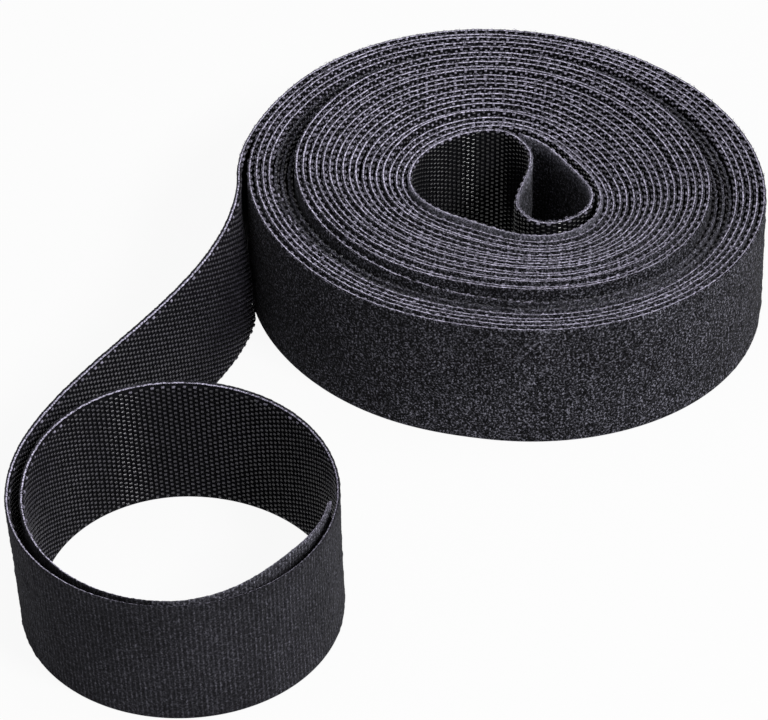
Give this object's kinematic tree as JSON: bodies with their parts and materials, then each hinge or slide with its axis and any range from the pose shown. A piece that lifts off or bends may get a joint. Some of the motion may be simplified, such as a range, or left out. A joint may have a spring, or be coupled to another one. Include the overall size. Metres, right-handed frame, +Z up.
{
  "type": "hook and loop tape roll",
  "caption": "Roll of black back-to-back hook and loop tape standing on edge, pile outside and hooks inside, with a folded inner end and a free lead that curls into a loose ring.",
  "frame": {"origin": "on the floor under the middle of the whole part's box", "axes": "+Z up, along the roll's axis and across the tape's width; +Y from the end ring towards the roll; +X towards the side the roll lies on"},
  "size_m": [0.1326, 0.1662, 0.027],
  "materials": {
    "pile": "matte, napped loops",
    "hook": "satin, moulded hooks"
  },
  "bodies": {
    "roll": {"core_fold_pile_ply": "pile", "core_fold_hook_ply": "hook", "roll_pile_ply": "pile", "roll_hook_ply": "hook"},
    "lead": {"lead_pile_ply": "pile", "lead_hook_ply": "hook"},
    "end_ring": {"end_ring_pile_ply": "pile", "end_ring_hook_ply": "hook"},
    "end_flap": {"end_flap_pile_ply": "pile", "end_flap_hook_ply": "hook"}
  },
  "joints": [
    {"name": "lead_swing", "type": "hinge", "parent": "roll", "child": "lead", "pos_m": [-0.02855, 0.03613, 0.0125], "axis": [0, 0, 1], "range_deg": [-40, 1], "stiffness_Nm_per_rad": 0.005},
    {"name": "end_ring_swing", "type": "hinge", "parent": "lead", "child": "end_ring", "pos_m": [-0.05259, -0.02083, 0.0125], "axis": [0, 0, 1], "range_deg": [-24, 25], "stiffness_Nm_per_rad": 0.005},
    {"name": "end_flap_swing", "type": "hinge", "parent": "end_ring", "child": "end_flap", "pos_m": [-0.03737, -0.08105, 0.0125], "axis": [0, 0, 1], "range_deg": [0, 35], "stiffness_Nm_per_rad": 0.003}
  ]
}
